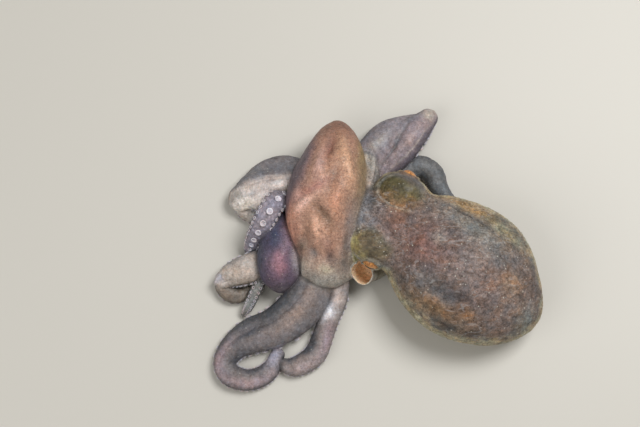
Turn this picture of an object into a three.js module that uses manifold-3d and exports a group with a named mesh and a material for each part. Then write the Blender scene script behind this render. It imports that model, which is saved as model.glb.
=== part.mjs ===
// A life-size octopus at rest on a flat floor, with its arm web swollen over what it has caught.
// Millimetres, +Z up. The head points to -X and the mantle's tip to +X and -Y.
// The origin is the middle of the animal's footprint. "Right" and "left" are the animal's own sides:
// its right is towards +Y.
//
// Every piece of flesh is a loft: a section that runs along a spline. A piece that meets another is cut by
// it, with a thin gap, and all of them are cut level where they rest on the floor.
import * as THREE from "three";
import { mergeVertices } from "three/addons/utils/BufferGeometryUtils.js";
import Module from "manifold-3d";

const wasm = await Module();
wasm.setup();

// ---------------------------------------------------------------- driving dimensions
const GAP = 0.3; // between pieces that touch
const EYE_RADIUS = 5.2;
const LID_TUBE = 1.1; // thickness of the fold of skin round each eye
const LID_AHEAD = 0.55; // how far in front of the eye's middle the fold lies, as a share of its radius
const FRAME_STEPS = 240; // how finely a section is carried along its spline
const CAP_RINGS = 2; // rings of faces in a run's round end
const CAP_TURN = 1.25; // how far round the end goes before it is closed flat, in radians
const GRID = 0.01; // cut pieces are rounded to this, so that no cut leaves an edge shorter than it
const FLOOR_SIZE = 400;
const EYE_LINE = [0.4, 0.92]; // from the left eye to the right one, across the head
const HEAD_TURN = Math.atan2(EYE_LINE[0], EYE_LINE[1]); // of the head's length, clockwise from +X

// A loft's points are x, y, z and half the width there. tall and deep are the section's height above and
// below the spline, as shares of its half width. rise is the way the section's back faces at the start.
const MANTLE = {
  points: [
    [0, 12, 19, 26],
    [22, -0.5, 20, 31.5],
    [43, -15.5, 21, 33],
    [60.5, -28, 18.5, 29.6],
    [77, -37.5, 13.5, 23.6],
  ],
  tall: 0.7,
  deep: 0.7,
};
const HEAD = {
  points: [
    [-18, 16, 16, 18],
    [3, 10.5, 17, 18.5],
    [28, -1, 18, 21],
  ],
  tall: 0.88,
  deep: 0.9,
};
const SIDES = {
  right: {
    brow: { at: [12, 24.5, 23], half: [14, 8.8, 11.5] },
    eye: { at: [13.5, 29.8, 24], look: [EYE_LINE[0], EYE_LINE[1], 0.25] },
  },
  left: {
    brow: { at: [-2, -2, 23], half: [13.5, 9.5, 11.5] },
    eye: { at: [-3, -8.2, 24], look: [-EYE_LINE[0], -EYE_LINE[1], 0.25] },
  },
};
const SIPHON = {
  points: [
    [5, -6.5, 11, 5],
    [0, -11, 9.5, 5],
    [-5, -13, 11.5, 5.4],
    [-8, -14, 17.5, 6.6],
  ],
  tall: 0.85,
  deep: 0.85,
};
const SIPHON_BORE = { from: 0.5, wall: 1.3 };

const WEB = {
  web_dome: {
    points: [
      [-19.5, 61.5, 15, 13],
      [-21, 46, 20, 17.5],
      [-25, 27, 22, 19.5],
      [-27, 10, 20, 18.5],
      [-26, -4, 15.5, 18.5],
      [-25.5, -21, 9, 26],
    ],
    tall: 0.98,
    deep: 1.05,
  },
  web_collar: {
    points: [
      [-4.5, 45, 12, 9],
      [-7, 27, 15, 11],
      [-10.5, 9, 15.5, 11.5],
      [-13.5, -5, 14, 10],
      [-16, -17, 11, 8],
    ],
    tall: 1.1,
    deep: 1.3,
  },
  web_lobe: {
    points: [
      [-44.5, 17, 12, 8.5],
      [-46.5, 6, 15.5, 10.2],
      [-47.5, -5, 14.5, 11.6],
      [-47.5, -14.5, 11.5, 12],
      [-46.5, -23, 8, 10],
    ],
    tall: 0.95,
    deep: 1.15,
  },
};

// Each arm is one or more runs. An arm that is folded under itself starts a new run at the fold.
// nodes are the lengths that a run is parted into, as shares of it.
const ARMS = {
  arm_right1: [
    {
      points: [
        [-40, 15, 5, 6.4],
        [-44, 19.5, 9.5, 6.2],
        [-48, 21.5, 16, 5.8],
        [-51, 18.5, 22, 5.6],
        [-54.5, 12.5, 22.5, 5.5],
        [-57.5, 7.5, 19, 5.2],
        [-60.5, 3.5, 13, 4.4],
        [-62.5, 0, 7, 3.4],
        [-63.5, -1.5, 3, 2.4],
      ],
      rise: [-0.85, -0.5, -0.15],
      tall: 0.7,
      deep: 0.75,
      steps: 13,
      nodes: { base: [0, 0.3], middle: [0.3, 0.66], tip: [0.66, 1] },
      suckers: { first: 0.32, last: 0.93, gap: 4.4 },
    },
  ],
  arm_left3: [
    {
      points: [
        [-26, -3, 9, 11],
        [-30, -14, 9.5, 11.3],
        [-37, -29, 8.8, 11],
        [-50, -39.5, 7.6, 9.8],
        [-61.5, -43.5, 6.4, 8.8],
        [-70.5, -49, 5.2, 6.8],
        [-75, -56.5, 4.6, 5.6],
        [-72, -62.8, 4.4, 5.5],
        [-64, -65.2, 4.4, 5.2],
        [-56.8, -63.2, 4.3, 5],
        [-51.7, -58.8, 4, 4.4],
        [-49.2, -53, 3.2, 3.6],
      ],
      tall: 0.78,
      deep: 0.95,
      steps: 23,
      nodes: { base: [0, 0.36], middle: [0.36, 0.54], bend: [0.54, 0.76], tip: [0.76, 1] },
    },
  ],
  arm_left4: [
    {
      points: [
        [-20.5, -7, 9, 7.5],
        [-21, -20, 8, 6.8],
        [-21.5, -27, 7, 6.2],
        [-24, -33.5, 6, 5.7],
        [-26.5, -42, 5.1, 5.2],
        [-30.5, -52, 4.8, 5.4],
        [-36.5, -57, 4.6, 5.2],
        [-42, -58.8, 3.9, 4.6],
        [-45.8, -58, 3.2, 3.6],
      ],
      tall: 0.82,
      deep: 0.95,
      steps: 16,
      nodes: { base: [0, 0.5], middle: [0.5, 0.76], tip: [0.76, 1] },
    },
  ],
  arm_left1: [
    {
      points: [
        [-47, -5, 6, 5],
        [-54, -11, 7.5, 3.4],
        [-58, -18, 8.2, 2.9],
        [-61.5, -25, 7, 2.8],
        [-64, -29.8, 5, 2.4],
        [-66, -32.8, 2.6, 1.6],
      ],
      tall: 0.9,
      deep: 0.9,
      steps: 9,
      nodes: { base: [0, 0.5], tip: [0.5, 1] },
    },
  ],
  arm_left2: [
    {
      points: [
        [-48, -8, 6.5, 7],
        [-58, -9.5, 9, 7.4],
        [-66, -12, 10, 7],
        [-71.5, -14, 9.2, 6.2],
        [-76, -16.5, 7.2, 4.6],
      ],
      tall: 0.72,
      deep: 0.78,
      steps: 9,
      nodes: { base: [0, 0.5], bend: [0.5, 1] },
    },
    {
      points: [
        [-76, -19.5, 4, 4.2],
        [-72.5, -23, 3.5, 4.2],
        [-67.5, -23.5, 3, 3.6],
        [-63.5, -21, 2.4, 2.2],
      ],
      tall: 0.85,
      deep: 0.85,
      steps: 7,
      nodes: { tip: [0, 1] },
    },
  ],
  arm_right2: [
    {
      points: [
        [-30, 27, 8, 9],
        [-41, 29.5, 8.8, 9.8],
        [-53, 28.5, 10, 9.8],
        [-62, 26.8, 9.6, 8.8],
        [-67.5, 24.3, 7.4, 6.8],
      ],
      tall: 0.7,
      deep: 0.8,
      steps: 10,
      nodes: { base: [0, 0.5], bend: [0.5, 1] },
    },
    {
      points: [
        [-67.5, 22, 4, 4.6],
        [-64.5, 18.5, 3.4, 4.6],
        [-59.5, 15.5, 3, 3.8],
        [-53, 14, 2.4, 2.4],
      ],
      tall: 0.85,
      deep: 0.85,
      steps: 7,
      nodes: { tip: [0, 1] },
    },
  ],
  arm_right3: [
    {
      points: [
        [-13, 24, 8, 8],
        [0.5, 38, 9, 8.2],
        [11.5, 48.5, 10.5, 7.8],
        [20, 58, 11.5, 6.6],
        [25.5, 64.5, 10, 4.8],
      ],
      tall: 0.75,
      deep: 0.8,
      steps: 10,
      nodes: { base: [0, 0.5], bend: [0.5, 1] },
    },
    {
      points: [
        [26, 65.5, 4.4, 4.2],
        [22, 61, 3.6, 4.2],
        [16.5, 54.5, 3.2, 3.6],
        [11.5, 47.5, 2.6, 2.2],
      ],
      tall: 0.85,
      deep: 0.85,
      steps: 7,
      nodes: { tip: [0, 1] },
    },
  ],
  arm_right4: [
    {
      points: [
        [-1, 29, 6.5, 6.5],
        [12, 37.5, 5, 6],
        [21, 41, 4.6, 5.6],
        [28, 37.5, 4.4, 5.2],
        [31, 30, 4, 4.6],
        [36, 23.5, 3.2, 3.6],
        [43.5, 19.5, 2.2, 2.2],
      ],
      tall: 0.85,
      deep: 0.95,
      steps: 13,
      nodes: { base: [0, 0.5], tip: [0.5, 1] },
    },
  ],
};
// Thin skirts of web beside two arms that lead off behind the dome.
const SKIRTS = {
  web_right: {
    points: [
      [-13, 38, 9, 6],
      [-2, 47.5, 10.5, 9],
      [9, 57, 9.5, 9],
      [19, 65.5, 7.5, 6],
    ],
    tall: 0.5,
    deep: 0.7,
  },
  web_front: {
    points: [
      [-33, 40.5, 8, 6],
      [-46, 38.5, 8, 8],
      [-58, 34.5, 7, 7.5],
      [-66, 31, 5.5, 5],
    ],
    tall: 0.45,
    deep: 0.8,
  },
};

// How many faces go round a section and along it.
const FACES = {
  eye: [10, 7],
  lid: [4, 10],
  brow: [12, 6],
  head: [14, 6],
  mantle: [20, 12],
  siphon: [10, 5],
  web_dome: [18, 11],
  web_collar: [10, 7],
  web_lobe: [14, 8],
  skirt: [10, 6],
  arm: 8,
  sucker: 5,
};
const SUCKER = {
  step: 0.005, // share of the run between the places that are tried
  margin: 0.04, // of the run, kept clear at both ends of a length
  radius: 0.34, // and the next three, as shares of the arm's half width
  height: 0.5,
  apart: 0.46,
  seat: 0.72,
  root: 0.7, // of the sucker's own radius
};

// ---------------------------------------------------------------- materials
const skin = (color, roughness = 0.45) =>
  new THREE.MeshStandardMaterial({ color, roughness, metalness: 0 });
const MATERIALS = {
  mantle: skin(0x6f5f58),
  head: skin(0x7a695d),
  web_dome: skin(0xb98470),
  web_lobe: skin(0x5d4a58),
  web_collar: skin(0x6e6968),
  arm: skin(0x8a817f),
  arm_right2: skin(0xc0b4ad),
  arm_left2: skin(0x9e9387),
  siphon: skin(0x9a6c4a),
  eye: skin(0xb06a35, 0.2),
};

// ---------------------------------------------------------------- lofts
// Gives a loft's centre, directions and half width at a share t of its length.
function spine({ points, rise = [0, 0, 1] }) {
  const line = new THREE.CatmullRomCurve3(
    points.map(([x, y, z]) => new THREE.Vector3(x, y, z)),
    false,
    "catmullrom",
    0.5,
  );
  const halves = new THREE.SplineCurve(points.map(([, , , half], i) => new THREE.Vector2(i, half)));
  const rises = [];
  const carried = new THREE.Vector3(...rise);
  for (let i = 0; i <= FRAME_STEPS; i += 1) {
    carried.projectOnPlane(line.getTangent(i / FRAME_STEPS)).normalize();
    rises.push(carried.clone());
  }
  return (t) => {
    const along = line.getTangent(t);
    const up = rises[Math.round(t * FRAME_STEPS)].clone().projectOnPlane(along).normalize();
    return {
      centre: line.getPoint(t),
      along,
      up,
      side: new THREE.Vector3().crossVectors(up, along),
      half: halves.getPoint(t).y,
    };
  };
}

// A point of a section: across and lift are shares of its half width and height, ahead is a distance.
function place({ tall, deep }, { centre, along, up, side, half }, across, lift, ahead, grow) {
  const height = half * (lift > 0 ? tall : deep) + grow;
  return centre
    .clone()
    .addScaledVector(side, across * (half + grow))
    .addScaledVector(up, lift * height)
    .addScaledVector(along, ahead);
}

function reshape(geometry, move) {
  const position = geometry.getAttribute("position");
  const v = new THREE.Vector3();
  for (let i = 0; i < position.count; i += 1) {
    const { x, y, z } = move(v.fromBufferAttribute(position, i));
    position.setXYZ(i, x, y, z);
  }
  return geometry;
}

// A loft that swells from nothing at both ends, made from a sphere.
function blob(shape, [sides, rings], grow) {
  const at = spine(shape);
  const sphere = new THREE.SphereGeometry(1, sides, rings);
  return solid(reshape(sphere, (v) => place(shape, at((1 - v.y) / 2), v.x, v.z, -v.y * grow, grow)));
}

// A stretch of a run between two shares of it, made from a cylinder. A round one is round where the run
// ends, and flat where the next length goes on.
function tube(shape, [sides, steps], [from, to], grow, round) {
  const at = spine(shape);
  const before = round && from === 0 ? CAP_RINGS : 0;
  const after = round && to === 1 ? CAP_RINGS : 0;
  const rows = before + steps + after;
  const rod = new THREE.CylinderGeometry(1, 1, 1, sides, rows);
  return solid(
    reshape(rod, (v) => {
      const row = Math.round((0.5 - v.y) * rows) - before;
      const inside = THREE.MathUtils.clamp(row, 0, steps);
      const station = at(THREE.MathUtils.lerp(from, to, inside / steps));
      const turn = ((row - inside) / CAP_RINGS) * CAP_TURN;
      const flat = turn === 0 ? (inside === steps) - (inside === 0) : 0;
      const ahead = Math.sin(turn) * (station.half + grow) + flat * grow;
      return place(shape, station, v.x * Math.cos(turn), v.z * Math.cos(turn), ahead, grow);
    }),
  );
}

// ---------------------------------------------------------------- solids
function solid(geometry) {
  geometry.deleteAttribute("normal");
  geometry.deleteAttribute("uv");
  const { attributes, index } = mergeVertices(geometry);
  return new wasm.Manifold(
    new wasm.Mesh({
      numProp: 3,
      vertProperties: attributes.position.array,
      triVerts: new Uint32Array(index.array),
    }),
  );
}

const join = (solids) => solids.reduce((sum, one) => sum.add(one));

// The largest single body of a solid: cutting can leave slivers behind.
const largest = (cut) =>
  cut.decompose().reduce((best, body) => (body.volume() > best.volume() ? body : best));

// A mesh of a solid, rounded to the grid, without the faces that the rounding closes up.
function meshOf(name, made, material) {
  const { vertProperties, triVerts } = made.getMesh();
  const rounded = vertProperties.map((value) => Math.round(value / GRID) * GRID);
  const geometry = mergeVertices(
    new THREE.BufferGeometry()
      .setAttribute("position", new THREE.BufferAttribute(rounded, 3))
      .setIndex(new THREE.BufferAttribute(triVerts, 1)),
  );
  const corners = geometry.index.array;
  const open = [];
  for (let i = 0; i < corners.length; i += 3) {
    const face = [...corners.subarray(i, i + 3)];
    if (new Set(face).size === 3) open.push(...face);
  }
  geometry.setIndex(open);
  geometry.computeVertexNormals();
  const mesh = new THREE.Mesh(geometry, material);
  mesh.name = name;
  return mesh;
}

const facing = (direction) =>
  new THREE.Quaternion().setFromUnitVectors(
    new THREE.Vector3(0, 0, 1),
    new THREE.Vector3(...direction).normalize(),
  );

// ---------------------------------------------------------------- head and siphon
const eyeball = ({ at }, grow) =>
  solid(new THREE.SphereGeometry(EYE_RADIUS + grow, ...FACES.eye).translate(...at));

// The fold of skin that rings an eye.
function lid({ at, look }, grow) {
  const ahead = EYE_RADIUS * LID_AHEAD;
  const ring = Math.hypot(EYE_RADIUS, LID_TUBE) * Math.sqrt(1 - LID_AHEAD ** 2);
  return solid(
    new THREE.TorusGeometry(ring, LID_TUBE + grow, ...FACES.lid)
      .translate(0, 0, ahead)
      .applyQuaternion(facing(look))
      .translate(...at),
  );
}

// The swelling that carries an eye.
const brow = ({ at, half }, grow) =>
  solid(
    new THREE.SphereGeometry(1, ...FACES.brow)
      .rotateX(Math.PI / 2)
      .scale(...half.map((size) => size + grow))
      .rotateZ(-HEAD_TURN)
      .translate(...at),
  );

const head = (grow) =>
  join([
    blob(HEAD, FACES.head, grow),
    ...Object.values(SIDES).flatMap((side) => [brow(side.brow, grow), lid(side.eye, grow)]),
  ]);

// The siphon's tube, hollow from its mouth to the middle.
function siphon(grow) {
  const outer = tube(SIPHON, FACES.siphon, [0, 1], grow, false);
  if (grow > 0) return outer;
  const { from, wall } = SIPHON_BORE;
  const bore = { ...SIPHON, points: SIPHON.points.map(([x, y, z, half]) => [x, y, z, half - wall]) };
  return outer.subtract(tube(bore, FACES.siphon, [from, 1], GAP, false));
}

// ---------------------------------------------------------------- arms
// The suckers that stand on a run's underside between two shares of it, in two rows.
function suckers(run, [from, to]) {
  const at = spine(run);
  const { first, last, gap } = run.suckers;
  const made = [];
  let row = 1;
  let walked = 0;
  for (let t = first; t < last; t += SUCKER.step) {
    const station = at(t);
    walked += station.centre.distanceTo(at(t - SUCKER.step).centre);
    if (walked < gap / 2) continue;
    walked = 0;
    row = -row;
    if (t < from + SUCKER.margin || t > to - SUCKER.margin) continue;
    const radius = station.half * SUCKER.radius;
    made.push(
      solid(
        new THREE.CylinderGeometry(radius, radius * SUCKER.root, station.half * SUCKER.height, FACES.sucker)
          .rotateX(Math.PI / 2)
          .applyQuaternion(facing(station.up.clone().negate().toArray()))
          .translate(...place(run, station, row * SUCKER.apart, -SUCKER.seat, 0, 0).toArray()),
      ),
    );
  }
  return made;
}

function arm(run, span, grow) {
  const steps = Math.ceil(run.steps * (span[1] - span[0]));
  const studs = run.suckers ? suckers(run, span) : [];
  return join([tube(run, [FACES.arm, steps], span, grow, true), ...studs]);
}

// ---------------------------------------------------------------- assembly
const octopus = new THREE.Group();
const floor = solid(
  new THREE.BoxGeometry(FLOOR_SIZE, FLOOR_SIZE, FLOOR_SIZE).translate(0, 0, -FLOOR_SIZE / 2),
);
const taken = [];

// Adds a piece, cut by the floor and by the grown shape of every piece before it.
function add(name, material, shapeAt) {
  const whole = shapeAt(0).subtract(floor);
  const cut = taken.reduce((left, other) => left.subtract(other), whole);
  octopus.add(meshOf(name, largest(cut), material));
  taken.push(shapeAt(GAP));
}

for (const [name, side] of Object.entries(SIDES))
  add(`eye_${name}`, MATERIALS.eye, (grow) => eyeball(side.eye, grow));
add("head", MATERIALS.head, head);
add("mantle", MATERIALS.mantle, (grow) => blob(MANTLE, FACES.mantle, grow));
add("siphon", MATERIALS.siphon, siphon);
for (const [name, shape] of Object.entries(WEB))
  add(name, MATERIALS[name], (grow) => blob(shape, FACES[name], grow));
for (const [name, runs] of Object.entries(ARMS))
  for (const run of runs)
    for (const [length, span] of Object.entries(run.nodes))
      add(`${name}_${length}`, MATERIALS[name] ?? MATERIALS.arm, (grow) => arm(run, span, grow));
for (const [name, shape] of Object.entries(SKIRTS))
  add(name, MATERIALS.arm, (grow) => blob(shape, FACES.skirt, grow));

export default octopus;
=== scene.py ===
import math

import bpy
import numpy as np
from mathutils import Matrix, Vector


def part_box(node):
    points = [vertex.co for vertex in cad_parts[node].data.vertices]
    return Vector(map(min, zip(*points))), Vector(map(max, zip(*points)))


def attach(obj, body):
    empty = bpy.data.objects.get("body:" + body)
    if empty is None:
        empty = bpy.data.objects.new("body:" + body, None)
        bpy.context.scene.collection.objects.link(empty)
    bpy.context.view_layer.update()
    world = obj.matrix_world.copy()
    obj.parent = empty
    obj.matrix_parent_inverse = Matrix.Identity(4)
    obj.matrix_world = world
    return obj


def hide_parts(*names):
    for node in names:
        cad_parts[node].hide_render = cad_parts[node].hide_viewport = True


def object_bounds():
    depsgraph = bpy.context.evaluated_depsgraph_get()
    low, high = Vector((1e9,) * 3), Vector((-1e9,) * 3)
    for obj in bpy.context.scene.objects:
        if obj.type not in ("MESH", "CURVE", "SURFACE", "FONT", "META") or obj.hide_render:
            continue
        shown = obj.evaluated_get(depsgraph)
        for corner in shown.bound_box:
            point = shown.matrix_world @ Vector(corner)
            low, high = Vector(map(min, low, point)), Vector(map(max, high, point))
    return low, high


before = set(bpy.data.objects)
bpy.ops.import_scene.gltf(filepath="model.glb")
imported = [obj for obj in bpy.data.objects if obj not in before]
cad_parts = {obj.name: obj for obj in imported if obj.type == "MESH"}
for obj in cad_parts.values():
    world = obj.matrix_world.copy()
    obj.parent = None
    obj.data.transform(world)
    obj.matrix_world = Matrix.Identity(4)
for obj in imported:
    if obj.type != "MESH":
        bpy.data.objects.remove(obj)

import openvdb as vdb
from mathutils import Matrix, Vector

CAD_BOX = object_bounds()
MM = 0.001
UP = np.array((0.0, 0.0, 1.0))

# ---------- driving dimensions
VOXEL = 0.45  # of the grid that the flesh is grown on
BAND = 7.0  # how far from a piece of flesh its distance is known
MARGIN = 9.0  # of empty grid round the solids
ROUND = 40  # points round a section
ALONG = 1.2  # distance between a loft's sections, of which it has FEWEST or more
FEWEST = 12
CAP_RINGS = 8
FRAME_STEPS = 240  # places along a loft where its upward direction is known
STATIONS = 90  # places along a loft that a point of the skin is measured against
BATCH = 50000  # points of the skin that are measured at once
SMOOTHINGS = 3

# The lofts of the solids: x, y, z and half the width at each point. tall and deep are the section's height
# above and below the spline, as shares of its half width. rise is the way the back faces at the start.
BLOBS = dict(
    mantle=dict(tall=0.7, deep=0.7, points=[
        (0, 12, 19, 26), (22, -0.5, 20, 31.5), (43, -15.5, 21, 33), (60.5, -28, 18.5, 29.6),
        (77, -37.5, 13.5, 23.6)]),
    head=dict(tall=0.88, deep=0.9, points=[
        (-18, 16, 16, 18), (3, 10.5, 17, 18.5), (28, -1, 18, 21)]),
    web_collar=dict(tall=1.1, deep=1.3, points=[
        (-4.5, 45, 12, 9), (-7, 27, 15, 11), (-10.5, 9, 15.5, 11.5), (-13.5, -5, 14, 10),
        (-16, -17, 11, 8)]),
    web_dome=dict(tall=0.98, deep=1.05, points=[
        (-19.5, 61.5, 15, 13), (-21, 46, 20, 17.5), (-25, 27, 22, 19.5), (-27, 10, 20, 18.5),
        (-26, -4, 15.5, 18.5), (-25.5, -21, 9, 26)]),
    web_lobe=dict(tall=0.95, deep=1.15, points=[
        (-44.5, 17, 12, 8.5), (-46.5, 6, 15.5, 10.2), (-47.5, -5, 14.5, 11.6), (-47.5, -14.5, 11.5, 12),
        (-46.5, -23, 8, 10)]),
    web_right=dict(tall=0.5, deep=0.7, points=[
        (-13, 38, 9, 6), (-2, 47.5, 10.5, 9), (9, 57, 9.5, 9), (19, 65.5, 7.5, 6)]),
    web_front=dict(tall=0.45, deep=0.8, points=[
        (-33, 40.5, 8, 6), (-46, 38.5, 8, 8), (-58, 34.5, 7, 7.5), (-66, 31, 5.5, 5)]),
)
ARMS = dict(
    right1=dict(tall=0.7, deep=0.75, rise=(-0.85, -0.5, -0.15), points=[
        (-40, 15, 5, 6.4), (-44, 19.5, 9.5, 6.2), (-48, 21.5, 16, 5.8), (-51, 18.5, 22, 5.6),
        (-54.5, 12.5, 22.5, 5.5), (-57.5, 7.5, 19, 5.2), (-60.5, 3.5, 13, 4.4), (-62.5, 0, 7, 3.4),
        (-63.5, -1.5, 3, 2.4)]),
    left3=dict(tall=0.78, deep=0.95, points=[
        (-26, -3, 9, 11), (-30, -14, 9.5, 11.3), (-37, -29, 8.8, 11), (-50, -39.5, 7.6, 9.8),
        (-61.5, -43.5, 6.4, 8.8), (-70.5, -49, 5.2, 6.8), (-75, -56.5, 4.6, 5.6), (-72, -62.8, 4.4, 5.5),
        (-64, -65.2, 4.4, 5.2), (-56.8, -63.2, 4.3, 5), (-51.7, -58.8, 4, 4.4), (-49.2, -53, 3.2, 3.6)]),
    left4=dict(tall=0.82, deep=0.95, points=[
        (-20.5, -7, 9, 7.5), (-21, -20, 8, 6.8), (-21.5, -27, 7, 6.2), (-24, -33.5, 6, 5.7),
        (-26.5, -42, 5.1, 5.2), (-30.5, -52, 4.8, 5.4), (-36.5, -57, 4.6, 5.2), (-42, -58.8, 3.9, 4.6),
        (-45.8, -58, 3.2, 3.6)]),
    left1=dict(tall=0.9, deep=0.9, points=[
        (-47, -5, 6, 5), (-54, -11, 7.5, 3.4), (-58, -18, 8.2, 2.9), (-61.5, -25, 7, 2.8),
        (-64, -29.8, 5, 2.4), (-66, -32.8, 2.6, 1.6)]),
    left2=dict(tall=0.72, deep=0.78, points=[
        (-48, -8, 6.5, 7), (-58, -9.5, 9, 7.4), (-66, -12, 10, 7), (-71.5, -14, 9.2, 6.2),
        (-76, -16.5, 7.2, 4.6)]),
    left2_tip=dict(tall=0.85, deep=0.85, points=[
        (-76, -19.5, 4, 4.2), (-72.5, -23, 3.5, 4.2), (-67.5, -23.5, 3, 3.6), (-63.5, -21, 2.4, 2.2)]),
    right2=dict(tall=0.7, deep=0.8, points=[
        (-30, 27, 8, 9), (-41, 29.5, 8.8, 9.8), (-53, 28.5, 10, 9.8), (-62, 26.8, 9.6, 8.8),
        (-67.5, 24.3, 7.4, 6.8)]),
    right2_tip=dict(tall=0.85, deep=0.85, points=[
        (-67.5, 22, 4, 4.6), (-64.5, 18.5, 3.4, 4.6), (-59.5, 15.5, 3, 3.8), (-53, 14, 2.4, 2.4)]),
    right3=dict(tall=0.75, deep=0.8, points=[
        (-13, 24, 8, 8), (0.5, 38, 9, 8.2), (11.5, 48.5, 10.5, 7.8), (20, 58, 11.5, 6.6),
        (25.5, 64.5, 10, 4.8)]),
    right3_tip=dict(tall=0.85, deep=0.85, points=[
        (26, 65.5, 4.4, 4.2), (22, 61, 3.6, 4.2), (16.5, 54.5, 3.2, 3.6), (11.5, 47.5, 2.6, 2.2)]),
    right4=dict(tall=0.85, deep=0.95, points=[
        (-1, 29, 6.5, 6.5), (12, 37.5, 5, 6), (21, 41, 4.6, 5.6), (28, 37.5, 4.4, 5.2), (31, 30, 4, 4.6),
        (36, 23.5, 3.2, 3.6), (43.5, 19.5, 2.2, 2.2)]),
)
SIPHON = dict(tall=0.85, deep=0.85, points=[
    (5, -6.5, 11, 5), (0, -11, 9.5, 5), (-5, -13, 11.5, 5.4), (-8, -14, 17.5, 6.6)])
SIPHON_WALL = 0.9
SIPHON_BORE = 0.78  # share of the siphon's length where its hollow starts
SIPHON_DOMES = (1.0, 0.15)
EYE_LINE = (0.4, 0.92)  # from the left eye to the right one, across the head
# Round each eye: the way it looks, the place and half size of the mound over it, and the colour of its lid.
# The olive patch on the mound has a middle spot, a reach, a slant of its front and a pale edge there. Its
# tints change in the direction turn, over the range fade.
SIDES = dict(
    right=dict(look=(0.4, 0.92, 0.25), at=(12, 24.5, 23), half=(14, 8.8, 11.5), lid=0x967458, spot=(12, 22),
               reach=(13.5, 8), slant=0.6, edge=0.55, tints=(0x58502A, 0x866642), turn=(0.4, -0.9),
               fade=(-0.2, 0.6)),
    left=dict(look=(-0.4, -0.92, 0.25), at=(-2, -2, 23), half=(13.5, 9.5, 11.5), lid=0x8E8C80,
              spot=(-3.5, -4.5), reach=(12, 8.5), slant=0, edge=0.15, tints=(0xA89C66, 0x6A5E44),
              turn=(0.8, 0.6), fade=(-0.6, -0.1)),
)
BALL_RINGS = 24
LID_TUBE = 1.1  # radius of the ring of skin round an eye
LID_AHEAD = 0.55  # how far in front of the eye's middle it lies, as a share of the eye's radius
LID_SIDES = (48, 12)
# How a part joins the flesh: the reach of the blend, then the depth and the width of a groove.
JOINS = {"mantle": (1,), "siphon": (2,), "web_collar": (3.5, 0.5, 1.2), "web_dome": (4.5, 0.15, 0.8),
         "web_lobe": (1, 0.5, 0.8), "web_right": (9,), "web_front": (9,)}
BROW_REACH = 6
LID_REACH = 1.6
NAPE = (12, 24)  # heights between which the head's groove against the mantle closes
NAPE_REACH = (1, 11)
NAPE_GROOVE = (1.2, 0.9)
ROOT_REACH = {"left2": 5, "left1": 3, "right1": 3}
ARM_REACH = (1.5, 0.5)  # of most arms, at the root and further along
ARM_ROOT = (0.6, 0.24)  # shares of an arm's length between which its root's reach sets in
ARM_GROOVE = (0.4, 0.7)
GROOVED = (4, 1.5)  # reaches between which an arm's groove sets in


# ---------- lofts
def crossing(points, t, ghosts):
    """Points of a uniform Catmull-Rom spline and its tangents at shares t of its length."""
    padded = np.vstack([ghosts[0], points, ghosts[1]])
    spans = len(points) - 1
    at = np.clip(t, 0, 1) * spans
    i = np.minimum(at.astype(int), spans - 1)
    f = (at - i)[:, None]
    a, b, c, d = (padded[i + k] for k in range(4))
    speed0, speed1 = (c - a) / 2, (d - b) / 2
    cubic, square = 2 * (b - c) + speed0 + speed1, 3 * (c - b) - 2 * speed0 - speed1
    return ((cubic * f + square) * f + speed0) * f + b, (3 * cubic * f + 2 * square) * f + speed0


def unit(vectors):
    return vectors / np.linalg.norm(vectors, axis=-1, keepdims=True)


def across(vector, axis):
    """The part of a vector at right angles to an axis, as a unit vector."""
    return unit(vector - (vector * axis).sum(-1, keepdims=True) * axis)


def circle(sides):
    """Cosines and sines of equal steps round a circle."""
    turn = np.arange(sides) * 2 * np.pi / sides
    return np.cos(turn), np.sin(turn)


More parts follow.
